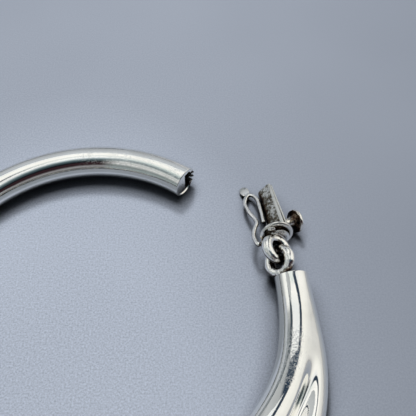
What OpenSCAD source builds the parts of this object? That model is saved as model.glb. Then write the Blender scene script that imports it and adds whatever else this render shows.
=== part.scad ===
// Silver link bracelet, lying open on a flat surface. Two rigid curved links are joined by rings
// soldered to their ends. At the open side one link carries a box clasp: a guard plate with a
// folded spring tongue, a push button and a hinged wire catch. The other link takes the tongue
// in a slotted end plate.

/* [Tube] */
// Outside diameter of both links' tube
tube_d = 6; // [5.8:0.1:6.2]
// Wall of the back link's tube
tube_wall = 0.55; // [0.4:0.05:0.8]

/* [Back link] */
// Radius of the back link's centre line
back_r = 30.1; // [29.5:0.1:31]
// Angle from +X at which the slotted end stands
back_from = 55.8; // [50:0.1:60]
// Angle from +X at which the ringed end stands
back_to = 181.3; // [180:0.1:182]
// Thickness of the plates that close the ends
end_plate = 0.6; // [0.4:0.1:1]
// Depth of the slotted plate behind the rim
plate_recess = 0.15; // [0.1:0.05:0.4]
// Height of the slot for the tongue
slot_h = 4.2; // [4:0.1:4.3]
// Width of the slot, outward from the middle of the tube
slot_w = 1.9; // [1.8:0.1:2.1]
// Height of the notch that lets the button's stem pass
notch_h = 1.4; // [1.2:0.1:1.8]
// Length of the notch along the tube's outer side
notch_len = 4.4; // [3.5:0.1:6]

/* [Front link] */
// Length of the almost straight stretch behind the clasp
lead_len = 14; // [12:0.5:16]
// Radius of that stretch
lead_r = 80; // [70:1:90]
// Radius of the rest of the link
main_r = 33; // [32.5:0.1:33.5]
// Turn of the rest of the link
main_turn = 177; // [176:0.5:178]
// How far apart the two ridges' centres come
ridge_spread = 6.3; // [5:0.1:8]
// Lean of the line between the ridges, from the flat
ridge_lean = 37; // [32:1:45]
// Distance from an end over which the ridges part
ridge_growth = 36; // [32:1:42]
// Depth of the valley between the ridges
valley_depth = 2.3; // [1:0.1:2.4]
// Distance from an end at which the valley starts
valley_from = 15; // [12:1:18]
// Distance from an end at which the valley is full
valley_to = 26; // [24:1:34]
// Squareness of the outer ridge's shoulder, where 2 is round
shoulder_power = 3.6; // [2:0.1:4]
// Height that the clasp's end stands above the rest
end_lift = 1; // [0.6:0.1:1.2]
// Length over which that end rises
lift_len = 8.7; // [7:0.1:10]

/* [Rings] */
// Radius of a ring's centre line
ring_r = 2.12; // [2.1:0.01:2.15]
// Radius of a ring's wire
ring_wire = 0.82; // [0.78:0.01:0.83]
// Height of the solder that holds a ring on its end
solder_t = 0.3; // [0.2:0.05:0.35]

/* [Guard plate] */
// Diameter of the guard plate
guard_d = 6; // [5.8:0.1:6.2]
// Thickness of the guard plate
guard_t = 0.65; // [0.55:0.05:0.75]
// Radius of the collar on its back
collar_r = 2.1; // [2:0.05:2.2]
// Thickness of that collar
collar_t = 0.35; // [0.2:0.05:0.4]
// Outside radius of the hinge eye
eye_r = 0.75; // [0.7:0.05:0.85]
// Radius of the hinge eye's bore
eye_bore_r = 0.4; // [0.39:0.01:0.42]

/* [Tongue] */
// Length of the tongue beyond the guard plate's middle
tongue_len = 13.7; // [13:0.1:13.8]
// Width of the tongue at the guard plate
tongue_root_w = 4; // [3.6:0.1:4]
// Width of the tongue at its fold
tongue_tip_w = 3.2; // [2.8:0.1:3.4]
// Thickness of the strip
strip_t = 0.45; // [0.4:0.05:0.5]
// Height of the step on the tongue's upper face
step_t = 0.12; // [0.08:0.01:0.15]
// Roll of the tongue about its length
tongue_roll = -46; // [-52:1:-44]

/* [Push button] */
// Radius of the button's head
button_r = 2.05; // [1.9:0.05:2.2]
// Height of the button from the leaf to the top of the head
button_h = 4; // [3.8:0.1:4.1]
// Radius of the button's stem
stem_r = 0.8; // [0.6:0.05:0.9]

/* [Safety catch] */
// Radius of the catch's wire
catch_wire = 0.34; // [0.3:0.01:0.36]
// Half the width of the flat thumb tab at the catch's tip
tab_r = 0.8; // [0.7:0.05:0.9]

/* [Hidden] */
silver = "#d9d9d6";
worn_silver = "#a8a49d";

tube_r = tube_d / 2;
slack = 0.05;
sink = 0.2;

// Places of the links and of the clasp, measured from the middle of the wrist
back_middle = [-1.8, 4];
front_start = [34.1, 7.4];
front_heading = -7;
clasp_place = [31.88, 15.34, 5.18];
clasp_turn = [-12, 0, 8.5];
end_turn = [13, 0, 9];

// Course of the front link. A heading is 0 along -Y and grows towards -X.
function degrees(x) = x * 180 / PI;
function smooth(x) = let (t = min(1, max(0, x))) t * t * (3 - 2 * t);
function arc(p, a, b, r) = p + r * [cos(b) - cos(a), sin(a) - sin(b)];
lead_heading = front_heading + degrees(lead_len / lead_r);
lead_end = arc(front_start, front_heading, lead_heading, lead_r);
front_len = lead_len + main_r * main_turn * PI / 180;
far_heading = lead_heading + main_turn;
far_end = arc(lead_end, lead_heading, far_heading, main_r);

function heading(s) = s < lead_len ? front_heading + degrees(s / lead_r)
    : lead_heading + degrees((s - lead_len) / main_r);
function course(s) = s < lead_len ? arc(front_start, front_heading, heading(s), lead_r)
    : arc(lead_end, lead_heading, heading(s), main_r);
function from_end(s) = min(s, front_len - s);

// Distance between the ridges' centres; an end is a plain round tube
growth_from = 2;
function spread(s) = ridge_spread * smooth((from_end(s) - growth_from) / (ridge_growth - growth_from));
function valley(s) = valley_depth * smooth((from_end(s) - valley_from) / (valley_to - valley_from));
function lift(s) = end_lift * pow(max(0, 1 - s / lift_len), 2);
function slope(s) = atan(2 * end_lift / lift_len * max(0, 1 - s / lift_len));

// The outer ridge's shoulder is a rounded square there, by this power at a length along the link
shoulder_len = 15;
function power(s) = 2 + (shoulder_power - 2) * smooth(from_end(s) / shoulder_len);
function square_off(a, m) = a < 90 || a > 180 ? 1 : pow(pow(sin(a), m) + pow(-cos(a), m), -1 / m);

// Outline of the front link, by the angle around it: a ridge, the valley, the other ridge and the
// back. Between the ridges the outline is drawn out in width by a stretch from 1 to -1, and the
// valley's floor lies at a stretch nearer the outer ridge.
cap_steps = 12;
valley_steps = 10;
apart = 15;
floor_at = -0.25;
inner_bank = 1.1;
outer_bank = 0.7;
angles = concat([for (i = [0 : cap_steps]) -90 + apart + (180 - 2 * apart) * i / cap_steps],
    [for (i = [1 : valley_steps - 1]) 90 - apart + 2 * apart * i / valley_steps],
    [for (i = [0 : cap_steps]) 90 + apart + (180 - 2 * apart) * i / cap_steps], [270]);
function ease(x) = (3 * x - x * x * x) / 2;
function stretch(a) = ease(min(1, max(-1, a == 270 ? 0 : (90 - a) / apart)));
function bank(x) = x > floor_at ? inner_bank : outer_bank;
function sunk_share(x) = pow(cos(90 * min(1, abs(x - floor_at) / bank(x))), 2);
function outline(d, depth, m) = [for (a = angles) let (x = stretch(a), r = tube_r * square_off(a, m))
    [r * cos(a) + x * d / 2, r * sin(a) - (sin(a) > 0 ? depth * sunk_share(x) : 0)]];

// One outline, stood across the course at the length s
function station(s) = let (h = heading(s), c = course(s), t = slope(s), d = spread(s),
        outward = [cos(h), -sin(h), 0], up = [-sin(h) * sin(t), -cos(h) * sin(t), cos(t)],
        to_upper = sin(ridge_lean) * up - cos(ridge_lean) * outward,
        to_valley = cos(ridge_lean) * up + sin(ridge_lean) * outward,
        middle = [c[0], c[1], tube_r + lift(s) + d / 2 * sin(ridge_lean)])
    [for (p = outline(d, valley(s), power(s))) middle + p[0] * to_upper + p[1] * to_valley];

station_count = 56;
stations = [for (i = [0 : station_count]) station(front_len * i / station_count)];
front_points = [for (ring = stations) for (p = ring) p];

// Skin over rings of points, closed at both ends
function skin_faces(rings, sides) = concat(
    [[for (i = [sides - 1 : -1 : 0]) i]],
    [for (j = [0 : rings - 2]) for (i = [0 : sides - 1]) let (a = j * sides, k = (i + 1) % sides)
        [a + i, a + k, a + sides + k, a + sides + i]],
    [[for (i = [0 : sides - 1]) (rings - 1) * sides + i]]);

// The box that the links fill, from which the origin is set under the middle
reach = back_r + tube_r;
box_min = [back_middle[0] - reach, min([for (p = front_points) p[1]])];
box_max = [max([for (p = front_points) p[0]]), back_middle[1] + reach];
origin = [(box_min[0] + box_max[0]) / 2, (box_min[1] + box_max[1]) / 2, 0];

// Places of the slot and of the notch in the slotted end, outward and up from the tube's middle
slot_low = -2.3;
notch_low = -1;
slot_outline = [[0, slot_low], [slot_w - 0.9, slot_low], [slot_w - 0.2, slot_low + 0.6],
    [slot_w - 0.4, notch_low - 0.2], [slot_w, notch_low], [slot_w + 1.4, notch_low],
    [slot_w + 1.4, notch_low + notch_h], [slot_w + 0.1, notch_low + notch_h],
    [slot_w - 0.3, notch_low + notch_h + 0.4], [slot_w, slot_low + slot_h - 0.5],
    [slot_w - 0.5, slot_low + slot_h], [0, slot_low + slot_h]];

// The two leaves of the tongue, seen along its width: x runs to the tip, y through the strip
upper_face = -0.4;
fold_r = 0.5;
fold_x = tongue_len - fold_r;
leaf_start = 0.9;
leaf_face = -1.8;
leaf_lean = atan((upper_face - 2 * fold_r - leaf_face) / (fold_x - leaf_start));
split_x = fold_x - 1;
step_end = 9.3;
tab_w = 2;

// Foot of the button's stem on the free leaf, and where the middle of its head stands
stem_foot = [0.5, 3.3];
stem_foot_y = leaf_face + (stem_foot[1] - leaf_start) * tan(leaf_lean);
button_head = [4.7, 4.5, -1.7];
rivet_r = 0.45;

// Course of the catch's wire: x across the clasp, y towards the tongue's tip
hinge_place = [0, -0.85, -1.2];
catch_drop = 0.22;
catch_rise = 0.3;
catch_course = [[-3.3, -0.85], [-3.64, -0.6], [-3.86, 0.4], [-3.9, 1.5], [-3.6, 2.65], [-3.15, 3.7],
    [-2.68, 4.75], [-2.8, 6], [-3.25, 7.2], [-3.62, 8.4], [-3.87, 9.8], [-3.85, 10.7], [-3.5, 11.8],
    [-3.1, 12.5], [-2.5, 12.9], [-1.86, 12.3], [-1.4, 11.15], [-1.3, 10.1], [-1.3, 8.6], [-1.32, 7.7],
    [-1.35, 6.6], [-1.45, 5.1], [-1.48, 4.3]];
tab_places = [[-3.2, 13.7], [-3.4, 14.6]];
pin_end = -2.05;
pin_r = catch_wire + 0.02;
catch_length = 15;

function bend(p, q, r, s, t) = 0.5 * (2 * q + (r - p) * t + (2 * p - 5 * q + 4 * r - s) * t * t
    + (3 * q - p - 3 * r + s) * t * t * t);
function curve(pts, steps) = let (n = len(pts) - 1) concat(
    [for (i = [0 : n - 1]) for (k = [0 : steps - 1])
        bend(pts[max(0, i - 1)], pts[i], pts[i + 1], pts[min(n, i + 2)], k / steps)], [pts[n]]);
function sunk(p) = [p[0], p[1], hinge_place[2] - catch_drop * (p[1] - hinge_place[1]) / catch_length
    + catch_rise * smooth((p[0] + 2.8) / 1.4)];

// Frames: each has its y axis pointing out of the end or along the clasp
module at_clasp() { translate(clasp_place) rotate(clasp_turn) children(); }
module at_front_start() {
    translate([front_start[0], front_start[1], tube_r + end_lift]) rotate(end_turn) children();
}
module at_front_far() {
    translate([far_end[0], far_end[1], tube_r]) rotate([0, 0, 180 - far_heading]) children();
}
module at_back(angle) {
    translate([back_middle[0], back_middle[1], tube_r]) rotate([0, 0, angle])
        translate([back_r, 0, 0]) children();
}

module torus(r, wire) { rotate_extrude() translate([r, 0]) circle(r = wire, $fn = 32); }
module disc(r, from, to) { translate([0, from, 0]) rotate([-90, 0, 0]) cylinder(r = r, h = to - from); }

// A ring standing on a soldered end, whose face is at y = 0, sunk below it by a depth
module soldered_ring(place, pitch, tilt, depth = 0) {
    translate([place[0], 0, place[1]]) {
        disc(1.3, -sink, solder_t);
        translate([0, ring_r + ring_wire - depth, 0])
            rotate([pitch, 0, 0]) rotate([0, tilt, 0]) torus(ring_r, ring_wire);
    }
}

module back_link() {
    inner_r = tube_r - tube_wall;
    plate_r = inner_r + tube_wall / 2;
    color(silver) difference() {
        union() {
            translate([back_middle[0], back_middle[1], tube_r]) rotate([0, 0, back_from])
                rotate_extrude(angle = back_to - back_from) translate([back_r, 0]) difference() {
                    circle(r = tube_r);
                    circle(r = inner_r);
                }
            at_back(back_from) disc(plate_r, plate_recess, plate_recess + end_plate);
            at_back(back_to) disc(plate_r, -end_plate, 0);
            at_back(back_to) soldered_ring([0, 0], 0, -38);
        }
        at_back(back_from) rotate([90, 0, 0]) translate([0, 0, -plate_recess - end_plate - sink])
            linear_extrude(end_plate + plate_recess + 2 * sink) polygon(slot_outline);
        at_back(back_from) translate([slot_w, -sink, notch_low])
            cube([tube_r, notch_len + sink, notch_h]);
    }
}

module front_link() {
    color(silver) union() {
        polyhedron(front_points, skin_faces(station_count + 1, len(stations[0])), convexity = 6);
        at_front_start() soldered_ring([-1.5, -0.1], -5, -46);
        at_front_far() soldered_ring([0, 0], 0, -38);
    }
}

module guard_plate() {
    edge = 0.12;
    half_t = guard_t / 2;
    rim = guard_d / 2;
    color(worn_silver) difference() {
        at_clasp() {
            rotate([-90, 0, 0]) rotate_extrude() polygon([[0, -half_t], [rim - edge, -half_t],
                [rim, edge - half_t], [rim, half_t - edge], [rim - edge, half_t], [0, half_t]]);
            translate([0.3, 0, -0.7]) disc(collar_r, -half_t - collar_t, 0);
            translate([0, -half_t, 0]) rotate([0, 0, 180]) soldered_ring([0.6, -0.64], -18, -35, 0.1);
            translate([-2.95, hinge_place[1], hinge_place[2]]) rotate([0, 90, 0])
                cylinder(r = eye_r, h = 0.6);
        }
        at_clasp() translate([-3.2, hinge_place[1], hinge_place[2]]) rotate([0, 90, 0])
            cylinder(r = eye_bore_r, h = 1);
        at_clasp() rotate([0, tongue_roll, 0])
            translate([-tab_w / 2 - slack, -guard_t, upper_face - strip_t - slack])
                cube([tab_w + 2 * slack, 2 * guard_t, strip_t + 2 * slack]);
    }
}

// Both leaves, the fold and the step, drawn along the tongue and through it
module strip_profile() {
    leaf_end = upper_face - 2 * fold_r;
    difference() {
        union() {
            polygon([[guard_t / 2 + slack, upper_face], [fold_x, upper_face], [fold_x, leaf_end],
                [leaf_start, leaf_face], [leaf_start, leaf_face + strip_t],
                [guard_t / 2 + slack, upper_face - strip_t]]);
            translate([fold_x, upper_face - fold_r]) circle(r = fold_r);
            polygon([[0.6, upper_face - sink], [0.6, upper_face + step_t],
                [step_end, upper_face + step_t], [step_end, upper_face - sink]]);
        }
        polygon([[0, upper_face - strip_t], [split_x, upper_face - strip_t],
            [leaf_start, leaf_face + strip_t], [0, leaf_face + strip_t]]);
    }
}

module tongue() {
    color(worn_silver) at_clasp() rotate([0, tongue_roll, 0]) difference() {
        union() {
            intersection() {
                rotate([90, 0, 90]) linear_extrude(tongue_root_w + 1, center = true) strip_profile();
                translate([0, 0, -4]) linear_extrude(5) polygon([[-tongue_root_w / 2, 0],
                    [tongue_root_w / 2, 0], [tongue_tip_w / 2, fold_x],
                    [tongue_tip_w / 2 - 0.5, tongue_len + 0.1], [0.5 - tongue_tip_w / 2, tongue_len + 0.1],
                    [-tongue_tip_w / 2, fold_x]]);
            }
            translate([-tab_w / 2, -guard_t / 2 - 0.1, upper_face - strip_t])
                cube([tab_w, guard_t + 1, strip_t]);
        }
        translate([stem_foot[0], stem_foot[1], stem_foot_y]) rotate([leaf_lean, 0, 0])
            translate([0, 0, -1]) cylinder(r = rivet_r + slack, h = 2);
    }
}

// Outline of the button from its stem to the crown of its head
function button_outline(h) = [[0, -1], [stem_r, -1], [stem_r, h - 2.1], [stem_r + 0.2, h - 1.5],
    [stem_r + 0.6, h - 1.1], [button_r - 0.15, h - 1], [button_r, h - 0.8], [button_r, h - 0.5],
    [button_r - 0.2, h - 0.25], [button_r * 0.6, h - 0.05], [0, h]];

module push_button() {
    foot = [stem_foot[0], stem_foot[1], stem_foot_y];
    head = [button_head[0] * cos(tongue_roll) - button_head[2] * sin(tongue_roll), button_head[1],
        button_head[0] * sin(tongue_roll) + button_head[2] * cos(tongue_roll)];
    reach = head - foot;
    color(worn_silver) at_clasp() rotate([0, tongue_roll, 0]) translate(foot) {
        difference() {
            rotate([0, acos(reach[2] / norm(reach)), atan2(reach[1], reach[0])])
                rotate_extrude() polygon(button_outline(button_h));
            rotate([leaf_lean, 0, 0]) translate([-4, -4, -slack]) cube(8);
        }
        rotate([leaf_lean, 0, 0]) translate([0, 0, -0.4]) cylinder(r = rivet_r, h = 0.4 + strip_t);
    }
}

module safety_catch() {
    sides = 8;
    wire = [for (p = curve(catch_course, 3)) sunk(p)];
    last = len(wire) - 1;
    rings = [for (i = [0 : last]) let (t = wire[min(last, i + 1)] - wire[max(0, i - 1)],
            side = [t[1], -t[0], 0] / norm([t[0], t[1]]))
        for (k = [0 : sides - 1]) let (a = 360 * k / sides)
            wire[i] + catch_wire * (cos(a) * side + sin(a) * [0, 0, 1])];
    color(silver) at_clasp() {
        polyhedron(rings, skin_faces(last + 1, sides), convexity = 6);
        for (p = tab_places) translate(sunk(p)) rotate([0, -20, 0])
            cylinder(r = tab_r, h = catch_wire, center = true);
        translate([-3.5, hinge_place[1], hinge_place[2]]) rotate([0, 90, 0])
            cylinder(r = pin_r, h = pin_end + 3.5);
        translate([pin_end - 0.2, hinge_place[1], hinge_place[2]]) rotate([0, 90, 0])
            cylinder(r = 0.48, h = 0.2);
    }
}

translate(-origin) back_link();
translate(-origin) front_link();
translate(-origin) guard_plate();
translate(-origin) tongue();
translate(-origin) push_button();
translate(-origin) safety_catch();
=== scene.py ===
import math

import bmesh
import bpy
from mathutils import Matrix, Vector, noise
from mathutils.bvhtree import BVHTree


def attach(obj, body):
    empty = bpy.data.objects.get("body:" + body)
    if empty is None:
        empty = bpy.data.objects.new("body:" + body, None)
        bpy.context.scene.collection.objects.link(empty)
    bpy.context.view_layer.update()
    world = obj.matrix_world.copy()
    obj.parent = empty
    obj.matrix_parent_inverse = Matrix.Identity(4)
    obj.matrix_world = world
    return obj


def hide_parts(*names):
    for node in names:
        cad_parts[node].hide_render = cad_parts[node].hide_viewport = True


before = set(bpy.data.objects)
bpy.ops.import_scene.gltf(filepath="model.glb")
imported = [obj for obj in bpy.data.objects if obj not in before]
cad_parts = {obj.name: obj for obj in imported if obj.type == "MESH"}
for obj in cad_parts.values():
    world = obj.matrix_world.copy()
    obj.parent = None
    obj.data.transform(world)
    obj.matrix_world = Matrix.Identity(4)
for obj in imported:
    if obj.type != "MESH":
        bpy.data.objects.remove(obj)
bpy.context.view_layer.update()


# Camera. It stands over the near side of the loop and looks along +Y, 54 degrees down. Sizes and
# places are in millimetres, from the middle of the wrist's place, where nothing else is said.
wrist = Vector((-1.9339, 3.3504, 0.0))
mm = 0.001
eye = Vector((19.5, -55.0, 110.4))
look_down = 54.1
film_width = 36.0
focal_px, frame_px = 700.0, 416.0

camera = bpy.data.objects.new("camera", bpy.data.cameras.new("camera"))
bpy.context.scene.collection.objects.link(camera)
camera.data.sensor_width = film_width
camera.data.lens = film_width * focal_px / frame_px
camera.data.clip_start = 0.005
camera.data.clip_end = 20.0
camera.location = (wrist + eye) * mm
camera.rotation_euler = (math.radians(90.0 - look_down), 0.0, 0.0)
bpy.context.scene.camera = camera
bpy.context.scene.view_settings.view_transform = "Standard"


# Table. A sheet of matte blue-grey card lies under the whole bracelet. It has a fine tooth, it is
# a little uneven in tone, and its colour is painted darker towards the back and the right, as painted shade
# for the light's falloff.
def colour(hex_code):
    """An sRGB colour such as 'C0C0C0', turned to linear."""
    parts = [int(hex_code[i:i + 2], 16) / 255 for i in (0, 2, 4)]
    return tuple(p / 12.92 if p <= 0.04045 else ((p + 0.055) / 1.055) ** 2.4 for p in parts) + (1.0,)


def add(tree, kind, inputs=None, **settings):
    """A node of that kind with its settings; an input is a value or the socket that feeds it."""
    node = tree.nodes.new(kind)
    for name, value in settings.items():
        setattr(node, name, value)
    for name, value in (inputs or {}).items():
        if isinstance(value, bpy.types.NodeSocket):
            tree.links.new(value, node.inputs[name])
        else:
            node.inputs[name].default_value = value
    return node


def ramp(tree, feed, stops):
    """A colour ramp over feed; a stop is a place and a hex colour or a grey number."""
    node = add(tree, "ShaderNodeValToRGB", {"Fac": feed})
    marks = node.color_ramp.elements
    while len(marks) < len(stops):
        marks.new(0.5)
    for mark, (place, shade) in zip(marks, stops):
        mark.position = place
        mark.color = colour(shade) if isinstance(shade, str) else (shade, shade, shade, 1.0)
    return node.outputs["Color"]


def blend(tree, share, below, above, mode="MIX"):
    """One colour laid over another by a share from 0 to 1."""
    return add(tree, "ShaderNodeMix", {"Factor": share, "A": below, "B": above},
               data_type="RGBA", blend_type=mode).outputs["Result"]


def step(tree, value, low, high):
    """A share that grows from 0 at low to 1 at high."""
    return add(tree, "ShaderNodeMapRange",
               {"Value": value, "From Min": low, "From Max": high}).outputs["Result"]


def blank_material(name):
    """An empty material with its output and its principled shader."""
    material = bpy.data.materials.new(name)
    material.use_nodes = True
    tree = material.node_tree
    tree.nodes.clear()
    shader = add(tree, "ShaderNodeBsdfPrincipled")
    add(tree, "ShaderNodeOutputMaterial", {"Surface": shader.outputs["BSDF"]})
    return material, tree, shader


card, tree, shader = blank_material("matte card")
where = add(tree, "ShaderNodeTexCoord").outputs["Object"]
cloud = add(tree, "ShaderNodeTexNoise", {"Vector": where, "Scale": 16.0, "Detail": 2.0}).outputs["Fac"]
tone = ramp(tree, cloud, [(0.3, "A4ACBA"), (0.7, "ABB3C1")])
# The card's tooth is drawn a third of a millimetre wide, coarser than real, to show
tooth = add(tree, "ShaderNodeTexNoise", {"Vector": where, "Scale": 3100.0, "Detail": 4.0,
                                         "Roughness": 0.65}).outputs["Fac"]
grain = ramp(tree, tooth, [(0.3, 0.72), (0.7, 1.28)])
# The distance in mm from the brightest spot, at the near left; sideways it counts 1.6 times
away = add(tree, "ShaderNodeVectorMath", {0: where, 1: (1600.0, 1000.0, 0.0), 2: (19.1, 26.6, 0.0)},
           operation="MULTIPLY_ADD").outputs["Vector"]
away = add(tree, "ShaderNodeVectorMath", {0: away}, operation="LENGTH").outputs["Value"]
away = step(tree, away, 0.0, 200.0)
# Painted shade: the card's colour falls off with the distance from that spot
fall = ramp(tree, away, [(0.0, 1.0), (0.24, 1.0), (0.305, 0.91), (0.43, 0.71), (0.6, 0.65), (0.8, 0.63)])
near = ramp(tree, away, [(0.15, 1.0), (0.30, 0.75), (0.45, 0.45), (0.62, 0.08)])
tone = blend(tree, near, tone, grain, "MULTIPLY")
tone = blend(tree, 1.0, tone, fall, "MULTIPLY")
# Painted shade: the card's colour is darkened where the silver stands close to it and little light comes in
painted_contact_shade = add(tree, "ShaderNodeAmbientOcclusion", {"Distance": 0.006}, samples=8).outputs["AO"]
tone = blend(tree, 1.0, tone, ramp(tree, painted_contact_shade, [(0.30, 0.2), (0.85, 1.0)]), "MULTIPLY")
tree.links.new(tone, shader.inputs["Base Color"])
shader.inputs["Roughness"].default_value = 0.3
shader.inputs["Specular IOR Level"].default_value = 0.08

# The sheet is 3 m square
table_side = 3000.0
table_top = bmesh.new()
bmesh.ops.create_grid(table_top, x_segments=8, y_segments=8, size=table_side / 2 * mm)
floor_mesh = bpy.data.meshes.new("table")
table_top.to_mesh(floor_mesh)
table_top.free()
floor_mesh.materials.append(card)
floor = bpy.data.objects.new("table", floor_mesh)
bpy.context.scene.collection.objects.link(floor)


# Light. A white panel hangs over the table and a little behind it: it gives the soft shadows, and
# the silver mirrors it. Round it stand a grey back wall, a white left wall, a cream right wall
# and a dark near side. The walls only show in reflections.
world = bpy.data.worlds.new("photo tent")
bpy.context.scene.world = world
world.cycles_visibility.diffuse = False
world.use_nodes = True
tree = world.node_tree
tree.nodes.clear()


def calc(tree, operation, *values, **settings):
    """One step of arithmetic on numbers or sockets."""
    return add(tree, "ShaderNodeMath", dict(enumerate(values)), operation=operation, **settings).outputs[0]


look = add(tree, "ShaderNodeTexCoord").outputs["Generated"]
axis = add(tree, "ShaderNodeSeparateXYZ", {"Vector": look}).outputs
# The tilt of a direction from the back wall (0) over the zenith (0.5) to the camera's side (1),
# and its lean from the zenith to the right, in degrees
tilt = calc(tree, "DIVIDE", calc(tree, "ARCTAN2", axis["Z"], axis["Y"]), math.pi)
lean = calc(tree, "DEGREES", calc(tree, "ARCTAN2", axis["X"], axis["Z"]))
panel_row = [(0.0, "90969A"), (0.11, "989EA2"), (0.18, "B4B8BC"), (0.22, "E4E6E6"), (0.30, "DEE2E2"),
             (0.39, "EEEEEA"), (0.43, "E6E6E4")]
middle = ramp(tree, tilt, panel_row + [
    (0.46, "CCD4D2"), (0.50, "EEEEEC"), (0.54, "D4DCDE"), (0.58, "869498"), (0.62, "4A5A60"),
    (0.70, "080C10"), (0.75, "2E2024"), (0.82, "26181C"), (0.90, "868688"), (0.95, "58585A")])
near_left = ramp(tree, tilt, panel_row + [
    (0.47, "D8DEDA"), (0.51, "B0BEBE"), (0.58, "6E787C"), (0.61, "7C8688"), (0.66, "CCD0D0"),
    (0.69, "A8AAAA"), (0.74, "CCCECE"), (0.81, "868E8E"), (0.86, "6C7676"), (0.90, "828C8E")])
tent = blend(tree, step(tree, axis["X"], -0.18, -0.30), middle, near_left)
behind = step(tree, axis["Y"], 0.0, 0.1)
# The left wall begins beyond a dark line at the panel's edge, and is grey towards the back; the
# line's middle leans this many degrees
left_at = -39.0
left_wall = ramp(tree, calc(tree, "DIVIDE", lean, -90.0), [
    (0.50, "E6E8E5"), (0.67, "E6E8E5"), (0.76, "D0D2D0"), (0.84, "A2A6A8"), (0.93, "969A9E"),
    (1.0, "A8ACAE")])
left_wall = blend(tree, step(tree, axis["Y"], 0.50, 0.70), left_wall, colour("7E8488"))
tent = blend(tree, calc(tree, "MULTIPLY", behind, step(tree, lean, -44.0, -46.0)), tent, left_wall)
left_line = calc(tree, "ABSOLUTE", calc(tree, "SUBTRACT", lean, left_at))
wider = calc(tree, "MULTIPLY", step(tree, axis["Y"], 0.5, 0.72), 3.0)
left_line = step(tree, calc(tree, "SUBTRACT", left_line, wider), 7.0, 4.5)
tent = blend(tree, calc(tree, "MULTIPLY", behind, left_line), tent, colour("3E4850"))
# The right wall begins beyond a dark line too, which runs off to the right as it goes back
right_at, right_run = 5.0, 35.0
past = calc(tree, "SUBTRACT", lean, calc(tree, "MULTIPLY_ADD", axis["Y"], right_run, right_at))
right_wall = ramp(tree, axis["Z"], [(0.0, "B2B2B0"), (0.10, "CBCBC8"), (0.25, "DBDBD6"), (0.50, "E4E4DF"),
                                    (0.75, "E7E6E1"), (0.95, "D8DADB")])
beside = step(tree, axis["Y"], -0.20, -0.12)
tent = blend(tree, calc(tree, "MULTIPLY", beside, step(tree, past, 3.0, 6.0)), tent, right_wall)
half_width = calc(tree, "MULTIPLY_ADD", step(tree, axis["Y"], 0.60, 0.80), 4.5, 9.0)
right_line = calc(tree, "SUBTRACT", half_width, calc(tree, "ABSOLUTE", past))
right_line = calc(tree, "DIVIDE", right_line, 2.5, use_clamp=True)
right_line = calc(tree, "MULTIPLY", step(tree, axis["Y"], 0.0, 0.12), right_line)
tent = blend(tree, right_line, tent, colour("2E3A48"))
glow = add(tree, "ShaderNodeBackground", {"Color": tent, "Strength": 1.2})
add(tree, "ShaderNodeOutputWorld", {"Surface": glow.outputs["Background"]})

# Each lamp's name, place, side and power in watts
for name, place, size, power in (
        ("panel over the table", (-20.0, 165.0, 390.0), 200.0, 1.24),
        ("window behind the table", (-10.0, 275.0, 330.0), 70.0, 1.08),
        ("light room", (-300.0, -300.0, 500.0), 600.0, 0.005)):
    lamp = bpy.data.objects.new(name, bpy.data.lights.new(name, "AREA"))
    bpy.context.scene.collection.objects.link(lamp)
    lamp.data.size = size * mm
    lamp.data.energy = power
    lamp.visible_glossy = False
    lamp.location = (wrist + Vector(place)) * mm
    lamp.rotation_euler = (wrist * mm - lamp.location).to_track_quat("-Z", "Y").to_euler()


def flag(name, corners, way, low, high, stops):
    """A small card that glows with painted light and that only shiny things mirror; its tone runs along a
    way from low to high, in mm.
    """
    paint, tree, shader = blank_material(name + " card")
    where = add(tree, "ShaderNodeTexCoord").outputs["Object"]
    along = add(tree, "ShaderNodeVectorMath", {0: where, 1: way}, operation="DOT_PRODUCT").outputs["Value"]
    zero = wrist.dot(Vector(way))
    along = step(tree, along, (low + zero) * mm, (high + zero) * mm)
    tree.links.new(ramp(tree, along, stops), shader.inputs["Emission Color"])
    shader.inputs["Emission Strength"].default_value = 1.0
    shader.inputs["Base Color"].default_value = (0.0, 0.0, 0.0, 1.0)
    shader.inputs["Specular IOR Level"].default_value = 0.0
    shape = bmesh.new()
    shape.faces.new([shape.verts.new((wrist + Vector(c)) * mm) for c in corners])
    mesh = bpy.data.meshes.new(name)
    shape.to_mesh(mesh)
    shape.free()
    mesh.materials.append(paint)
    made = bpy.data.objects.new(name, mesh)
    bpy.context.scene.collection.objects.link(made)
    made.visible_camera = False
    made.visible_diffuse = False
    made.visible_shadow = False
    made.visible_transmission = False


# One card lies level above the front link's near half, the other hangs upright behind the back link; both
# glow with painted light
over_front = [(22, 11.5), (26, 8.2), (29, 5.2), (33, 3.6), (41, 3.4), (41.5, 1), (36, -6), (31, -9.5),
              (26, -10.5), (14, -9), (10, -2), (14, 4), (20, 8)]
dark_height, grey_place = 20.0, 47.0
flag("dark flag", [(x, y, dark_height) for x, y in over_front], (1.0, 0.35, 0.0), 15.0, 45.0,
     [(0.0, "8A8E92"), (0.23, "BEC2C4"), (0.46, "B0B4B6"), (0.54, "2E3C4C"), (0.77, "3C4A5A"),
      (0.93, "626E7A")])
behind_back = [(-75, 8), (30, 8), (30, 26), (-15, 24), (-70, 42)]
flag("grey flag", [(x, grey_place, z) for x, z in behind_back], (0.0, 0.0, 1.0), 8.0, 26.0,
     [(0.0, "A2A6AA"), (0.3, "B2B7BD"), (0.6, "C0C6CC"), (1.0, "B0B6C0")])


# Back link. A plain tube of sterling silver, drawn, bent round a former and polished. A slotted
# plate closes the end that takes the clasp, and a cap closes the other.
tube_r, tube_lip, soft_edge = 3.0, 0.3, 0.16
back_middle = Vector((-1.8, 4.0, tube_r))
back_r = 30.1
back_from, back_to = 55.8, 181.3


def smooth(x):
    """A soft rise from 0 to 1 as x does the same."""
    x = min(1.0, max(0.0, x))
    return x * x * (3 - 2 * x)


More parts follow.
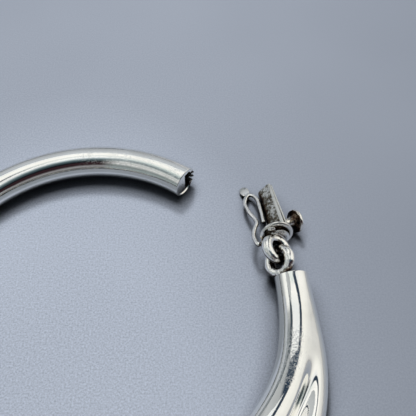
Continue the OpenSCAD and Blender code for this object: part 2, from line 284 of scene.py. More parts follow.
def drawn(along, around, place, closed=False):
    """A skin stretched over place(u, v), u and v from 0 to 1, closed round v, and along u if asked."""
    skin = bmesh.new()
    chart = skin.loops.layers.uv.new("UVMap")
    bmesh.ops.create_grid(skin, x_segments=along, y_segments=around, size=0.5)
    spots = {v: (v.co.x + 0.5, v.co.y + 0.5) for v in skin.verts}
    for v, (s, t) in spots.items():
        v.co = place(s, t)
    for face in skin.faces:
        for loop in face.loops:
            loop[chart].uv = spots[loop.vert]
    bmesh.ops.remove_doubles(skin, verts=skin.verts, dist=0.0005)
    if not closed:
        ends = [e for e in skin.edges if e.is_boundary]
        bmesh.ops.holes_fill(skin, edges=ends, sides=0)
    bmesh.ops.recalc_face_normals(skin, faces=skin.faces)
    return skin


def rounding(s, length, soft):
    """How far a skin draws in at the distance s along it, to round its two end edges off."""
    gap = min(s, length - s)
    return 0.0 if gap >= soft else soft - math.sqrt(max(0.0, soft * soft - (soft - gap) ** 2))


def eased(u, length, soft, steps):
    """The share u of a length, with steps of it kept for the rounding of each end."""
    if u < steps:
        return soft * (u / steps)
    if u > 1 - steps:
        return length - soft * ((1 - u) / steps)
    return soft + (length - 2 * soft) * (u - steps) / (1 - 2 * steps)


def carved(skin, cutters):
    """A skin after each cutter is taken from it."""
    def as_object(shape, name):
        mesh = bpy.data.meshes.new(name)
        shape.to_mesh(mesh)
        shape.free()
        made = bpy.data.objects.new(name, mesh)
        bpy.context.scene.collection.objects.link(made)
        return made

    blank = as_object(skin, "blank")
    tools = [as_object(c, "cutter") for c in cutters]
    for tool in tools:
        cut = blank.modifiers.new("cut", "BOOLEAN")
        cut.operation = "DIFFERENCE"
        cut.solver = "EXACT"
        cut.object = tool
    result = bmesh.new()
    result.from_mesh(blank.evaluated_get(bpy.context.evaluated_depsgraph_get()).to_mesh())
    for spent in [blank] + tools:
        bpy.data.objects.remove(spent)
    return result


def finished(shape, name, material, node, sharp=32.0, body="bracelet"):
    """The shape, in millimetres from the wrist's middle, as a piece that stands for a CAD node."""
    bmesh.ops.translate(shape, verts=shape.verts, vec=wrist)
    bmesh.ops.scale(shape, verts=shape.verts, vec=(mm, mm, mm))
    mesh = bpy.data.meshes.new(name)
    shape.to_mesh(mesh)
    shape.free()
    mesh.shade_smooth()
    mesh.set_sharp_from_angle(angle=math.radians(sharp))
    mesh.materials.append(material)
    piece = bpy.data.objects.new(name, mesh)
    bpy.context.scene.collection.objects.link(piece)
    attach(piece, body)
    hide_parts(node)
    return piece


def back_frame(angle):
    """The frame of the back link's end at that angle: x outward, y along, z up."""
    a = math.radians(angle)
    turned = Matrix.Rotation(a, 4, "Z")
    return Matrix.Translation(back_middle) @ turned @ Matrix.Translation((back_r, 0, 0))


def back_skin(u, v):
    """The tube's skin, u along it from the clasp's end and v round it."""
    length = math.radians(back_to - back_from) * back_r
    s = eased(u, length, soft_edge, 0.03)
    a = math.radians(back_from) + s / back_r
    r = tube_r - rounding(s, length, soft_edge)
    t = 2 * math.pi * v
    out = back_r + r * math.cos(t)
    return back_middle + Vector((out * math.cos(a), out * math.sin(a), r * math.sin(t)))


def polished_silver(name, spots):
    """Polished sterling silver: nearly white and mirror bright. Fine rubbing scratches give it a haze,
    and a few rubbed spots break the edges of what it reflects."""
    material, tree, shader = blank_material(name)
    where = add(tree, "ShaderNodeTexCoord").outputs["Object"]
    haze = add(tree, "ShaderNodeTexNoise", {"Vector": where, "Scale": 180.0, "Detail": 4.0}).outputs["Fac"]
    # Rubbing scratches run every way; they are drawn 0.12 mm wide, wider than real, to show
    lines = []
    for turn, stretch in (((0.3, 0.5, 0.2), (900, 9000, 5000)), ((1.1, 0.2, 1.4), (7000, 1000, 7000))):
        laid = add(tree, "ShaderNodeMapping", {"Vector": where, "Rotation": turn, "Scale": stretch})
        fine = add(tree, "ShaderNodeTexNoise", {"Vector": laid.outputs["Vector"], "Scale": 1.0,
                                                "Detail": 2.0}).outputs["Fac"]
        lines.append(ramp(tree, fine, [(0.60, 0.0), (0.72, 1.0)]))
    marks = blend(tree, 1.0, lines[0], lines[1], "ADD")
    # Rubbed spots are dull grit about 0.3 mm wide, thickest at each spot's middle
    worn = 0.0
    for place, reach in spots:
        centre = tuple((wrist + Vector(place)) * mm)
        gap = add(tree, "ShaderNodeVectorMath", {0: where, 1: centre},
                  operation="DISTANCE").outputs["Value"]
        worn = calc(tree, "MAXIMUM", worn, step(tree, gap, reach * mm, 0.0))
    grit = add(tree, "ShaderNodeTexNoise", {"Vector": where, "Scale": 3600.0, "Detail": 3.0,
                                            "Roughness": 0.65}).outputs["Fac"]
    dull = calc(tree, "MULTIPLY", worn, ramp(tree, grit, [(0.54, 0.0), (0.62, 1.0)]))
    rough = calc(tree, "MULTIPLY_ADD", marks, 0.05, 0.02)
    rough = calc(tree, "MULTIPLY_ADD", haze, 0.03, rough)
    rough = calc(tree, "MULTIPLY_ADD", dull, 0.10, rough)
    tree.links.new(rough, shader.inputs["Roughness"])
    # The piece's side attribute says where its colour is painted duller and greyer, as painted shade where
    # it mirrors the shaded table
    tint = ramp(tree, haze, [(0.35, "F4F3EF"), (0.65, "FCFBF8")])
    side = add(tree, "ShaderNodeAttribute", attribute_name="side", attribute_type="GEOMETRY").outputs["Fac"]
    grey = ramp(tree, side, [(0.0, "FFFFFF"), (0.6, "CDCDCA"), (1.0, "62686C")])
    tree.links.new(blend(tree, 1.0, tint, grey, "MULTIPLY"), shader.inputs["Base Color"])
    shader.inputs["Metallic"].default_value = 1.0
    # Hand polishing leaves waves about 1.5 mm long and a few thousandths of a millimetre deep
    wave = add(tree, "ShaderNodeTexNoise", {"Vector": where, "Scale": 620.0, "Detail": 1.0}).outputs["Fac"]
    waves = add(tree, "ShaderNodeBump", {"Height": wave, "Strength": 0.35, "Distance": 0.00003})
    relief = calc(tree, "MULTIPLY_ADD", marks, 0.12, dull)
    cuts = add(tree, "ShaderNodeBump", {"Height": relief, "Strength": 0.4, "Distance": 0.00003,
                                        "Normal": waves.outputs["Normal"]})
    tree.links.new(cuts.outputs["Normal"], shader.inputs["Normal"])
    return material


back_silver = polished_silver("polished sterling silver of the back link", [
    ((9.0, 33.2, 5.0), 5.5), ((14.0, 30.0, 5.0), 4.5), ((3.0, 34.0, 5.6), 5.0), ((-4.0, 34.5, 5.6), 4.0)])

slot_frame = back_frame(back_from)
slot_edge = [(0.0, -2.3), (1.0, -2.3), (1.6, -1.85), (1.45, -1.5), (2.0, -1.2), (2.25, -0.8), (2.25, 0.7),
             (1.9, 1.1), (1.45, 1.85), (0.75, 1.8), (0.0, 1.9)]
slot_depth, nick_depth, plate_sunk = 5.0, 0.9, 0.15
# Three jagged nicks open the slot through the tube's outer wall
slot_nicks = [[(1.6, -1.5), (3.4, -1.75), (3.4, -1.0), (2.0, -0.85)],
              [(2.0, -0.65), (3.4, -0.8), (3.4, 0.0), (2.0, 0.1)],
              [(2.0, 0.3), (3.4, 0.25), (3.4, 1.1), (1.7, 1.0)]]


def prism(outline, place, depth):
    """An outline in the frame's x and z, drawn along its y from a little outside to the depth."""
    outside = -0.3
    block = bmesh.new()
    base = block.faces.new([block.verts.new((x, outside, z)) for x, z in outline])
    pushed = bmesh.ops.extrude_face_region(block, geom=[base])
    moved = [v for v in pushed["geom"] if isinstance(v, bmesh.types.BMVert)]
    bmesh.ops.translate(block, verts=moved, vec=(0, depth - outside, 0))
    bmesh.ops.recalc_face_normals(block, faces=block.faces)
    bmesh.ops.transform(block, matrix=place, verts=block.verts)
    return block


def drum(radius, low, high, place):
    """A plain drum along the frame's y."""
    block = bmesh.new()
    bmesh.ops.create_cone(block, cap_ends=True, segments=64, radius1=radius, radius2=radius,
                          depth=high - low)
    lie = Matrix.Translation((0, (low + high) / 2, 0)) @ Matrix.Rotation(math.radians(-90), 4, "X")
    bmesh.ops.transform(block, matrix=place @ lie, verts=block.verts)
    return block


# The end plate lies a little inside the tube's lip
back_shape = carved(drawn(200, 96, back_skin), [drum(tube_r - tube_lip, -0.5, plate_sunk, slot_frame)])
back_shape = carved(back_shape, [prism(slot_edge, slot_frame, slot_depth)])
back_shape = carved(back_shape, [prism(nick, slot_frame, nick_depth) for nick in slot_nicks])
back_tube = finished(back_shape, "back_tube", back_silver, "back_link")

# Painted shade: partway down the inner side the silver is painted a little duller, where it mirrors the
# shaded table
shade = []
for v in back_tube.data.vertices:
    low, high = smooth((0.52 - v.normal.z) / 0.08), smooth((v.normal.z - 0.05) / 0.15)
    shade.append(0.6 * low * high if v.normal.y < 0 else 0.0)
back_tube.data.attributes.new("side", "FLOAT", "POINT").data.foreach_set("value", shade)

# Tarnish has turned the walls inside the slot black and rough
darkening, tree, shader = blank_material("black tarnish on silver")
where = add(tree, "ShaderNodeTexCoord").outputs["Object"]
patch = add(tree, "ShaderNodeTexNoise", {"Vector": where, "Scale": 2000.0, "Detail": 3.0}).outputs["Fac"]
tree.links.new(ramp(tree, patch, [(0.35, "0A0908"), (0.65, "1E1916")]), shader.inputs["Base Color"])
tree.links.new(ramp(tree, patch, [(0.35, 0.5), (0.65, 0.8)]), shader.inputs["Roughness"])
crust = add(tree, "ShaderNodeBump", {"Height": patch, "Strength": 0.6, "Distance": 0.00004})
tree.links.new(crust.outputs["Normal"], shader.inputs["Normal"])
back_tube.data.materials.append(darkening)
# Those walls are the faces under the tube's skin and behind the plate, at the clasp's end
to_slot = slot_frame.inverted()
for face in back_tube.data.polygons:
    spot = face.center / mm - wrist
    from_middle = math.hypot((spot - back_middle).to_2d().length - back_r, spot.z - tube_r)
    behind_plate = (to_slot @ spot).y > plate_sunk + 0.05
    if from_middle < tube_r - 0.03 and behind_plate and spot.y > 0 and spot.x > 10:
        face.material_index = 1


# Rings. Each is a loop of silver wire bent, closed and soldered on its seat by hand, so the wire
# swells a little and the solder runs up round its foot. Worn silver stays dark in the recesses, as
# tarnish and as painted shade.
ring_r, ring_wire, ring_swell = 2.12, 0.82, 0.17
foot_r, foot_top, lump_r, lump_top = 1.25, 0.3, 0.95, 0.65
solder_root = -0.12


def fused(shape, voxel):
    """The overlapping parts of a shape grown into one skin, with a solder-like fillet between them."""
    mesh = bpy.data.meshes.new("fused")
    shape.to_mesh(mesh)
    shape.free()
    made = bpy.data.objects.new("fused", mesh)
    bpy.context.scene.collection.objects.link(made)
    grown = made.modifiers.new("grown", "REMESH")
    grown.mode = "VOXEL"
    grown.voxel_size = voxel
    eased_off = made.modifiers.new("eased", "SMOOTH")
    eased_off.factor = 0.5
    eased_off.iterations = 4
    result = bmesh.new()
    result.from_mesh(made.evaluated_get(bpy.context.evaluated_depsgraph_get()).to_mesh())
    bpy.data.objects.remove(made)
    return result


def joined(shapes):
    """Several shapes as one, each still a skin of its own."""
    whole = bmesh.new()
    for shape in shapes:
        mesh = bpy.data.meshes.new("part")
        shape.to_mesh(mesh)
        shape.free()
        whole.from_mesh(mesh)
        bpy.data.meshes.remove(mesh)
    return whole


def soldered_ring(seat, place, pitch, tilt, seed, sunk=0.0, more=()):
    """A ring and its solder on a seat whose face is at y = 0 of the seat's frame."""
    spot = Matrix.Translation((place[0], 0, place[1]))
    hoop = (spot @ Matrix.Translation((0, ring_r + ring_wire - sunk, 0))
            @ Matrix.Rotation(math.radians(pitch), 4, "X") @ Matrix.Rotation(math.radians(tilt), 4, "Y"))

    def skin(u, v):
        a, t = 2 * math.pi * u, 2 * math.pi * v
        # The two flanks swell; the foot, and the far side where the other ring hangs, don't
        side = math.cos(a) ** 2
        uneven = 0.05 * noise.noise(Vector((3 * math.cos(a), 3 * math.sin(a), seed)))
        wire = ring_wire + ring_swell * side + uneven
        out = ring_r + wire * math.cos(t) + ring_swell * 0.6 * side
        return seat @ hoop @ Vector((out * math.cos(a), out * math.sin(a), wire * math.sin(t)))

    foot = drum(foot_r, solder_root, foot_top, seat @ spot)
    lump = drum(lump_r, solder_root, lump_top, seat @ spot)
    return fused(joined([drawn(96, 32, skin, closed=True), foot, lump, *more]), 0.085)


def worn_silver(name, bright, dull, roughness, pits, relief, filing):
    """Silver that is rubbed bright where it stands proud and brown to black where it is shut in, by tarnish
    and by painted shade.
    """
    material, tree, shader = blank_material(name)
    where = add(tree, "ShaderNodeTexCoord").outputs["Object"]
    tarnish_and_shade = add(tree, "ShaderNodeAttribute", attribute_name="tarnish_and_shade",
                 attribute_type="GEOMETRY").outputs["Fac"]
    patch = add(tree, "ShaderNodeTexNoise", {"Vector": where, "Scale": 900.0, "Detail": 5.0,
                                             "Roughness": 0.6}).outputs["Fac"]
    pit = add(tree, "ShaderNodeTexNoise", {"Vector": where, "Scale": 3200.0, "Detail": 3.0}).outputs["Fac"]
    # Tarnish and painted shade darken the recesses, and tarnish lies in patches about a millimetre wide
    darkening = calc(tree, "ADD", patch, calc(tree, "SUBTRACT", tarnish_and_shade, 0.5))
    darkening = calc(tree, "MULTIPLY_ADD", pit, pits, darkening)
    tone = ramp(tree, darkening, [(0.26, bright), (0.42, dull), (0.58, "4A372B"), (0.76, "120C09")])
    tree.links.new(tone, shader.inputs["Base Color"])
    shader.inputs["Metallic"].default_value = 1.0
    rough = calc(tree, "MULTIPLY_ADD", darkening, 0.22, roughness, use_clamp=True)
    tree.links.new(rough, shader.inputs["Roughness"])
    # File and drawing marks run along the wire and the strip; they are drawn 0.15 mm wide to show
    laid = add(tree, "ShaderNodeMapping", {"Vector": where, "Scale": (6500, 700, 6500)})
    filed = add(tree, "ShaderNodeTexNoise", {"Vector": laid.outputs["Vector"], "Scale": 1.0,
                                             "Detail": 2.0}).outputs["Fac"]
    dents = add(tree, "ShaderNodeBump", {"Height": patch, "Strength": relief, "Distance": 0.00025})
    lines = add(tree, "ShaderNodeBump", {"Height": filed, "Strength": filing, "Distance": 0.00003,
                                         "Normal": dents.outputs["Normal"]})
    fine = add(tree, "ShaderNodeBump", {"Height": pit, "Strength": 0.4, "Distance": 0.00002,
                                        "Normal": lines.outputs["Normal"]})
    tree.links.new(fine.outputs["Normal"], shader.inputs["Normal"])
    return material


ring_silver = worn_silver("worn sterling silver of the rings", "FAF8F4", "8F8880", roughness=0.05,
                          pits=0.14, relief=0.45, filing=0.25)

back_ring = finished(soldered_ring(back_frame(back_to), (0, 0), 0, -38, seed=1.7), "back_ring",
                     ring_silver, "back_link", sharp=180)


# Front link. The broad link is pressed from two shells of sheet and soldered along its back: a
# round tube at the clasp, which opens into two ridges with a valley between them.
start, first_heading = Vector((34.1, 7.4, 0)), -7.0
lead_len, lead_r, main_r, main_turn = 14.0, 80.0, 33.0, 177.0
ridge_spread, ridge_lean = 6.3, math.radians(37)
shoulder_power, shoulder_len = 3.6, 15.0
valley_depth, floor_at, inner_bank, outer_bank = 2.3, -0.25, 1.1, 0.7
seam_h, seam_at, seam_wide = 0.12, 141.0, 3.6
end_lift, lift_len = 1.0, 8.7
lead_heading = first_heading + math.degrees(lead_len / lead_r)
front_len = lead_len + main_r * math.radians(main_turn)


def along_arc(p, a, b, r):
    """Where an arc of radius r that leaves p at the heading a ends, at the heading b."""
    a, b = math.radians(a), math.radians(b)
    return p + r * Vector((math.cos(b) - math.cos(a), math.sin(a) - math.sin(b), 0))


lead_end = along_arc(start, first_heading, lead_heading, lead_r)
far_end = along_arc(lead_end, lead_heading, lead_heading + main_turn, main_r)


def front_station(s):
    """The link's middle at the length s, its outward and up directions, and its section's sizes."""
    if s < lead_len:
        h = first_heading + math.degrees(s / lead_r)
        c = along_arc(start, first_heading, h, lead_r)
    else:
        h = lead_heading + math.degrees((s - lead_len) / main_r)
        c = along_arc(lead_end, lead_heading, h, main_r)
    h = math.radians(h)
    # From either end the ridges part over 34 mm, and the valley sinks between them over 11 mm
    near = min(s, front_len - s)
    spread = ridge_spread * smooth((near - 2) / 34)
    valley = valley_depth * smooth((near - 15) / 11)
    power = 2 + (shoulder_power - 2) * smooth(near / shoulder_len)
    fall = max(0.0, 1 - s / lift_len)
    slope = math.atan(2 * end_lift / lift_len * fall)
    outward = Vector((math.cos(h), -math.sin(h), 0))
    up = Vector((-math.sin(h) * math.sin(slope), -math.cos(h) * math.sin(slope), math.cos(slope)))
    c.z = tube_r + end_lift * fall ** 2 + spread / 2 * math.sin(ridge_lean)
    return c, outward, up, spread, valley, power


def front_skin(u, v):
    """The link's skin, u along it from the clasp's end and v round its section."""
    s = eased(u, front_len, soft_edge, 0.02)
    c, outward, up, spread, valley, power = front_station(s)
    r = tube_r - rounding(s, front_len, soft_edge)
    # Round the section, a turns with the tube's circle and x runs from one ridge to the other; a
    # third of the points lies in the valley and a sixth on the back
    if v < 1 / 3:
        a, x = 105 - 90 * v, 6 * v - 1
    elif v < 7 / 12:
        a, x = 75 - 150 * (v - 1 / 3) * 4, 1.0
    elif v < 3 / 4:
        a, x = -75 - 30 * (v - 7 / 12) * 6, 1 - 2 * (v - 7 / 12) * 6
    else:
        a, x = 255 - 150 * (v - 3 / 4) * 4, -1.0
    f = 1.5 * x - 0.5 * x ** 3
    sin_a, cos_a = math.sin(math.radians(a)), math.cos(math.radians(a))
    bank = inner_bank if f > floor_at else outer_bank
    sunk = math.cos(math.pi / 2 * min(1.0, abs(f - floor_at) / bank)) ** 2
    groove = valley * sunk if sin_a > 0 else 0.0
    if sin_a > 0 and cos_a < 0:
        r *= (sin_a ** power + (-cos_a) ** power) ** (-1 / power)
    # The solder seam between the two shells stands out as a thin bead along the outer side
    r += seam_h * math.exp(-((a - seam_at) / seam_wide) ** 2) * smooth(min(s, front_len - s) / 6)
    p, q = r * cos_a + f * spread / 2, r * sin_a - groove
    to_upper = math.sin(ridge_lean) * up - math.cos(ridge_lean) * outward
    to_valley = math.cos(ridge_lean) * up + math.sin(ridge_lean) * outward
    return c + p * to_upper + q * to_valley


front_silver = polished_silver("polished sterling silver of the front link", [
    ((34.3, -5.6, 6.9), 2.4), ((33.5, -8.0, 7.3), 2.8), ((32.8, -11.0, 7.9), 2.8),
    ((31.6, -13.5, 8.3), 1.8)])
front_body = finished(drawn(300, 288, front_skin), "front_body", front_silver, "front_link")

# Here too painted shade makes the inner side duller, the more so low down, where it mirrors the shaded
# table
shade = []
for v in front_body.data.vertices:
    inner = 0.6 * smooth((-v.normal.x - 0.68) / 0.12)
    low = 0.4 * smooth((0.32 - v.normal.z) / 0.3) if v.normal.x < -0.5 else 0.0
    shade.append(inner + low)
front_body.data.attributes.new("side", "FLOAT", "POINT").data.foreach_set("value", shade)

# The end at the clasp is raised a little, and its face tips up and to the left
start_turn, start_tip = 9, 13
start_frame = (Matrix.Translation((start.x, start.y, tube_r + end_lift))
               @ Matrix.Rotation(math.radians(start_turn), 4, "Z")
               @ Matrix.Rotation(math.radians(start_tip), 4, "X"))
front_ring = finished(soldered_ring(start_frame, (-1.5, -0.1), -5, -46, seed=4.1), "front_ring",
                      ring_silver, "front_link", sharp=180)
far_frame = Matrix.Translation((far_end.x, far_end.y, tube_r))
far_ring = finished(soldered_ring(far_frame, (0, 0), 0, -38, seed=7.3), "far_ring",
                    ring_silver, "front_link", sharp=180)


# Guard plate. A round plate of silver sheet with a rounded rim, which stops the tongue at the
# slot. The tongue's root is set in it, and the catch's hinge eye is soldered behind its edge. Its
# back is hollowed inside a rounded lip, and a collar of solder carries the ring in the hollow.
clasp_at, clasp_turn, clasp_tip = Vector((31.88, 15.34, 5.18)), 8.5, -12
clasp = (Matrix.Translation(clasp_at) @ Matrix.Rotation(math.radians(clasp_turn), 4, "Z")
         @ Matrix.Rotation(math.radians(clasp_tip), 4, "X"))
plate_r, plate_t = 3.0, 0.65
hollow_r, hollow = 2.2, 0.30
plate_back, plate_front = -plate_t / 2, plate_t / 2
plate_line = [(0.0, plate_back + hollow), (1.2, plate_back + hollow), (2.0, plate_back + hollow),
              (hollow_r, plate_back + 0.22), (2.28, plate_back + 0.06), (2.5, plate_back),
              (2.8, plate_back + 0.05), (2.97, -0.14), (plate_r, 0.0), (2.98, 0.16),
              (2.86, plate_front - 0.05), (2.66, plate_front), (1.6, plate_front), (0.0, plate_front)]

tarnished_and_shaded_silver = worn_silver("tarnished sterling silver of the clasp", "F2EFE9", "8C8172",
                               roughness=0.12, pits=0.22, relief=0.35, filing=0.4)


def curve(points, t):
    """A point on a smooth line through the points, t from 0 to 1."""
    n = len(points) - 1
    i = min(n - 1, int(t * n))
    f = t * n - i
    a, b, c, d = (Vector(points[max(0, min(n, i + k))]) for k in (-1, 0, 1, 2))
    bend, twist = 2 * a - 5 * b + 4 * c - d, 3 * b - a - 3 * c + d
    return 0.5 * (2 * b + (c - a) * f + bend * f * f + twist * f ** 3)


def plate_skin(u, v):
    """The plate's skin, u from the middle of its back over the rim to its front, v round it."""
    t = 2 * math.pi * v
    r, y = curve(plate_line, u)
    r = 0.0 if u in (0.0, 1.0) else max(0.0, r)
    r *= 1 + 0.010 * noise.noise(Vector((2 * math.cos(t), 2 * math.sin(t), 0.4)))
    y += 0.03 * noise.noise(Vector((r * math.cos(t) * 0.9, r * math.sin(t) * 0.9, 5.0)))
    return clasp @ Vector((r * math.cos(t), y, r * math.sin(t)))


guard_disc = finished(drawn(104, 96, plate_skin), "guard_disc", tarnished_and_shaded_silver, "guard_plate")

plate_seat = clasp @ Matrix.Translation((0, plate_back, 0)) @ Matrix.Rotation(math.pi, 4, "Z")
collar_at = plate_seat @ Matrix.Translation((-0.3, 0, -0.7))


def solder_blob(place, size):
    """A rounded lump of solder."""
    lump = bmesh.new()
    bmesh.ops.create_icosphere(lump, subdivisions=3, radius=1.0)
    bmesh.ops.transform(lump, matrix=place @ Matrix.Diagonal((*size, 1.0)), verts=lump.verts)
    return lump


collar = [drum(2.05, -hollow - 0.05, 0.16, collar_at), drum(1.75, 0.1, 0.34, collar_at),
          solder_blob(plate_seat @ Matrix.Translation((1.0, -0.05, 1.65)), (0.75, 0.30, 0.55)),
          solder_blob(plate_seat @ Matrix.Translation((-1.3, 0.1, -1.7)), (0.7, 0.35, 0.5))]
hung = soldered_ring(plate_seat, (0.6, -0.64), -18, -35, seed=2.9, sunk=0.1, more=collar)
guard_ring = finished(hung, "guard_ring", ring_silver, "guard_plate", sharp=180)

# The hinge eye is a short tube behind the plate's edge, round the axis that the catch turns about
hinge_y, hinge_z = -0.85, -1.2
eye_x, eye_half, eye_r, eye_wall = -2.65, 0.30, 0.575, 0.165


def eye_skin(u, v):
    """The eye's skin, u round its axis and v round its wall."""
    a, t = 2 * math.pi * u, 2 * math.pi * v
    r = eye_r + eye_wall * math.cos(t)
    x = eye_x + eye_half * max(-1.0, min(1.0, 1.35 * math.sin(t)))
    return clasp @ Vector((x, hinge_y + r * math.cos(a), hinge_z + r * math.sin(a)))


hinge_eye = finished(drawn(48, 24, eye_skin, closed=True), "hinge_eye", tarnished_and_shaded_silver, "guard_plate")


# Tongue. A strip of hard silver sheet folded on itself, so that its free leaf springs. It is set
# in the plate, rolled half over to the left and stepped where it was soldered, and it is dull and
# pitted from use.
roll = Matrix.Rotation(math.radians(-46), 4, "Y")
strip_t, fold_y, upper_face, leaf_y, leaf_face = 0.45, 13.2, -0.4, 0.9, -1.8
root_y, root_wide, strip_wide, strip_taper = -0.38, 2.0, 4.0, 0.8
solder_y, solder_t = 9.5, 0.12
strip_edge, strip_corner = 0.10, 0.30
half = strip_t / 2
fold_r = 0.5
fold_middle = Vector((0, fold_y, upper_face - fold_r))
leaf_from = Vector((0, fold_y, upper_face - 2 * fold_r + half))
leaf_to = Vector((0, leaf_y, leaf_face + half))
upper_len, fold_len = fold_y - root_y, math.pi * (fold_r - half)
leaf_len = (leaf_to - leaf_from).length


def strip_course(s):
    """A point of the strip's middle line at the length s, and the direction out of its outer face."""
    if s < upper_len:
        return Vector((0, root_y + s, upper_face - half)), Vector((0, 0, 1))
    s -= upper_len
    if s < fold_len:
        a = math.pi * s / fold_len
        out = Vector((0, math.sin(a), math.cos(a)))
        return fold_middle + out * (fold_r - half), out
    run = (leaf_to - leaf_from).normalized()
    return leaf_from.lerp(leaf_to, min(1.0, (s - fold_len) / leaf_len)), Vector((0, -run.z, run.y))


def strip_skin(u, v):
    """The strip's skin, u along it from its root over the fold and v round its section."""
    total = upper_len + fold_len + leaf_len
    s = eased(u, total, strip_edge, 0.01)
    p, out = strip_course(s)
    draw_in = rounding(s, total, strip_edge)
    y = p.y
    wide = strip_wide - strip_taper * max(0.0, y) / fold_y
    if s < upper_len and y < 0.42:
        wide = root_wide
    if y > fold_y - 0.2:
        wide -= 0.9 * ((y - fold_y + 0.2) / 0.7) ** 2
    # A rounded oblong, run round from the right edge over the outer face
    t = 2 * math.pi * v
    c, z = math.cos(t), math.sin(t)
    k = 1 / max(abs(c) ** 10 + abs(z) ** 10, 1e-9) ** 0.1
    a, b = c * k, z * k
    x = a * (wide / 2 - draw_in)
    lift = b * (half - draw_in)
    edge = abs(x) - wide / 2 + strip_corner
    if edge > 0:
        lift *= 1 - 0.6 * (edge / strip_corner) ** 2
    # A coat of solder thickens the outer face from the plate to a slanted step
    step_y = solder_y - 0.2 * x
    if s < upper_len and 0.45 < y < step_y and b > 0:
        lift += solder_t * smooth((step_y - y) / 0.15) * min(1.0, b)
    spot = p + Vector((x, 0, 0)) + out * lift
    wear = noise.noise(Vector((spot.x * 1.1, spot.y * 0.8, spot.z * 1.3)))
    return clasp @ roll @ (spot + out * 0.03 * wear * (1 if b > 0 else -0.3))


pitted_silver = worn_silver("pitted sterling silver of the tongue", "F2F0E8", "77705F",
                            roughness=0.14, pits=0.55, relief=0.3, filing=0.15)
tongue_strip = finished(drawn(260, 72, strip_skin), "tongue_strip", pitted_silver, "tongue",
                        sharp=50)


# Push button. A turned mushroom of silver, riveted through the free leaf. The thumb keeps the top
# of its head bright, and the head's underside is painted dark, as tarnish and as painted shade.
foot_x, foot_y = 0.5, 3.3
leaf_slope = (upper_face - 2 * fold_r - leaf_face) / (fold_y - leaf_y)
foot = Vector((foot_x, foot_y, leaf_face + (foot_y - leaf_y) * leaf_slope))
head = roll.inverted() @ Vector((4.7, 4.5, -1.7))
reach = (head - foot).normalized()
stand = reach.to_track_quat("Z", "Y").to_matrix().to_4x4()
button_frame = clasp @ roll @ Matrix.Translation(foot) @ stand
button_line = [(0.0, -0.5), (0.8, -0.5), (0.8, 0.2), (0.78, 0.9), (0.8, 1.6), (0.9, 2.2), (1.2, 2.62),
               (1.7, 2.86), (2.02, 2.94), (2.15, 3.06), (2.2, 3.28), (2.17, 3.52), (2.0, 3.73),
               (1.65, 3.86), (1.0, 3.95), (0.0, 4.0)]


def button_skin(u, v):
    """The button's skin, u from its foot to the top of its head and v round it."""
    t = 2 * math.pi * v
    r, h = curve(button_line, u)
    r = 0.0 if u in (0.0, 1.0) else max(0.0, r)
    r *= 1 + 0.02 * noise.noise(Vector((1.5 * math.cos(t), 1.5 * math.sin(t), h)))
    x, y = r * math.cos(t), r * math.sin(t)
    return button_frame @ Vector((x, y, h + 0.03 * noise.noise(Vector((x, y, 2.2)))))


button = finished(drawn(90, 72, button_skin), "button", tarnished_and_shaded_silver, "push_button",
                  sharp=60)


# Safety catch. Silver wire bent to a long loop with a waist, which swings over the tongue. It is
# flattened to a tab at its tip, and its foot is the pin that turns in the hinge eye.
wire_r = 0.38
catch_line = [(-3.3, -0.85), (-3.64, -0.6), (-3.86, 0.4), (-3.9, 1.5), (-3.6, 2.65), (-3.15, 3.7),
              (-2.68, 4.75), (-2.8, 6.0), (-3.25, 7.2), (-3.62, 8.4), (-3.87, 9.8), (-3.85, 10.7),
              (-3.5, 11.8), (-3.1, 12.5), (-2.5, 12.9), (-1.86, 12.3), (-1.4, 11.15), (-1.3, 10.1),
              (-1.3, 8.6), (-1.32, 7.7), (-1.35, 6.6), (-1.45, 5.1), (-1.48, 4.3)]
tab_x, tab_y, tab_tip, tab_turn = -3.3, 14.15, -20, 12
tab_wide, tab_long, tab_thick = 0.92, 1.4, 0.2
pin_line = [(0.0, -3.75), (0.3, -3.7), (0.38, -3.5), (0.36, -3.0), (0.36, -2.3), (0.36, -2.1),
            (0.47, -2.04), (0.47, -1.9), (0.3, -1.84), (0.0, -1.84)]


def catch_height(x, y):
    """How high the wire's middle lies in the clasp's frame; its return leg lies a little higher."""
    return hinge_z - 0.22 * (y - hinge_y) / 15 + 0.3 * smooth((x + 2.8) / 1.4)


catch_points = [(x, y, catch_height(x, y)) for x, y in catch_line]


def wire_skin(u, v):
    """The wire's skin, u along it from the pin and v round it."""
    p = curve(catch_points, u)
    ahead = curve(catch_points, min(1.0, u + 0.001))
    behind = curve(catch_points, max(0.0, u - 0.001))
    along = (ahead - behind).normalized()
    side = Vector((along.y, -along.x, 0)).normalized()
    end = min(1.0, (1 - u) / 0.02)
    r = wire_r * math.sqrt(max(0.0, 1 - (1 - end) ** 2)) * (1 + 0.06 * noise.noise(p * 0.9))
    r *= 1 + 0.25 * smooth(1 - u / 0.09)
    t = 2 * math.pi * v
    return clasp @ (p + r * (math.cos(t) * side + math.sin(t) * Vector((0, 0, 1))))


def tab_skin(u, v):
    """The flattened tab's skin, u from its underside to its top and v round it."""
    a, t = math.pi * u, 2 * math.pi * v
    flat = Vector((tab_wide * math.sin(a) * math.cos(t), tab_long * math.sin(a) * math.sin(t),
                   -tab_thick * math.cos(a)))
    place = (Matrix.Translation((tab_x, tab_y, catch_height(tab_x, tab_y)))
             @ Matrix.Rotation(math.radians(tab_tip), 4, "Y")
             @ Matrix.Rotation(math.radians(tab_turn), 4, "Z"))
    return clasp @ place @ flat


def pin_skin(u, v):
    """The hinge pin's skin, u along it and v round it."""
    t = 2 * math.pi * v
    r, x = curve(pin_line, u)
    r = 0.0 if u in (0.0, 1.0) else max(0.0, r)
    return clasp @ Vector((x, hinge_y + r * math.cos(t), hinge_z + r * math.sin(t)))


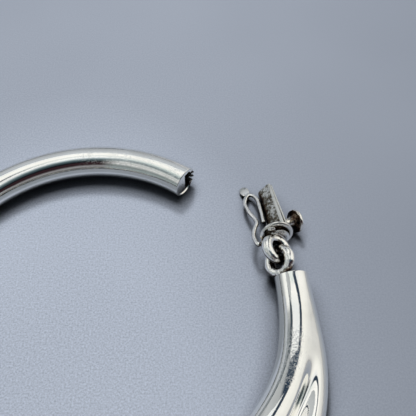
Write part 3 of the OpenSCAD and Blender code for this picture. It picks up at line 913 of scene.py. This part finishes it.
wire_silver = worn_silver("worn sterling silver wire of the catch", "FFFDF9", "9A9288",
                          roughness=0.08, pits=0.05, relief=0.1, filing=0.1)
catch_shape = joined([drawn(220, 24, wire_skin), drawn(24, 40, tab_skin), drawn(40, 32, pin_skin)])
safety_wire = finished(fused(catch_shape, 0.07), "catch_wire", wire_silver, "safety_catch",
                       sharp=180, body="catch")


# Tarnish and painted shade. Where a piece of the clasp is shut in by its neighbours it is darkened,
# as tarnish and as painted shade; where it looks down it is painted darker, as painted shade; and the
# tarnish is rubbed off where a thumb or the table touches. An attribute on each piece holds how much.
clasp_pieces = [back_ring, front_ring, far_ring, guard_disc, guard_ring, hinge_eye, tongue_strip,
                button, safety_wire]
points, triangles = [], []
for piece in clasp_pieces + [front_body, back_tube]:
    first = len(points)
    points += [v.co.copy() for v in piece.data.vertices]
    triangles += [tuple(first + i for i in p.vertices) for p in piece.data.polygons]
walls = BVHTree.FromPolygons(points, triangles)

# Spokes spread evenly over the open half-space, each turned from the last by the golden angle
spoke_count, golden_angle = 14, 2.399963
spoke_len, start_gap = 1.6, 0.04
spokes = []
for i in range(spoke_count):
    z = 0.18 + 0.8 * (i + 0.5) / spoke_count
    t = golden_angle * i
    spokes.append(Vector((math.sqrt(1 - z * z) * math.cos(t), math.sqrt(1 - z * z) * math.sin(t), z)))

from_clasp = clasp.inverted()
from_tongue = (clasp @ roll).inverted()
from_button = button_frame.inverted()


def use(piece, spot):
    """How much more a spot is darkened than its neighbours, by tarnish and at some spots by painted shade;
    or less, where it is rubbed bright.
    """
    if piece is tongue_strip:
        x, y, z = from_tongue @ spot
        # The right edge is rubbed bright, and painted bright as well for the highlight along it
        rubbed = 0.9 if x > 1.56 - 0.4 * y / fold_y else 0.0
        return 0.06 + 0.24 * smooth((4.5 - y) / 3) - rubbed
    if piece is button:
        x, y, z = from_button @ spot
        out = math.hypot(x, y)
        # The head's underside is painted dark, as tarnish and as the shade under the head
        under = smooth((out - 0.8) / 0.3) * smooth((3.15 - z) / 0.2)
        return 0.42 * under - 0.2 * smooth((z - 3.1) / 0.15)
    x, y, z = from_clasp @ spot
    if piece is guard_disc:
        if math.hypot(x, z) > 2.35:
            return -0.5
        # Painted shadow: a crescent of the plate's back, under its upper lip, is darkened
        return 0.4 * smooth((z - 0.1) / 0.6) * smooth((x + 0.9) / 1.2)
    if piece is guard_ring and y > -0.75:
        return 0.08
    if piece is safety_wire:
        return 0.05
    return 0.0


for piece in clasp_pieces:
    held = piece.data.attributes.new("tarnish_and_shade", "FLOAT", "POINT")
    flank_from = 0.8 if piece is safety_wire else 0.55
    values = []
    for v in piece.data.vertices:
        # The share of short rays that strike a wall gives tarnish and painted shade in the recesses
        toward = v.normal.to_track_quat("Z", "Y")
        origin = v.co + v.normal * start_gap * mm
        struck = [walls.ray_cast(origin, toward @ d, spoke_len * mm)[0] is not None for d in spokes]
        shut_in = sum(struck) / spoke_count
        # Painted shade: a face is painted darker the more it looks down
        painted_downward_shade = 0.7 * smooth((flank_from - v.normal.z) / 0.9)
        spot = v.co / mm - wrist
        if piece in (guard_disc, guard_ring) and (from_clasp @ spot).y > -0.75:
            shut_in, painted_downward_shade = shut_in * 0.4, painted_downward_shade * 0.3
        if piece is tongue_strip:
            shut_in, painted_downward_shade = shut_in * 0.9, painted_downward_shade * 0.8
        values.append(shut_in + painted_downward_shade + use(piece, spot))
    held.data.foreach_set("value", values)
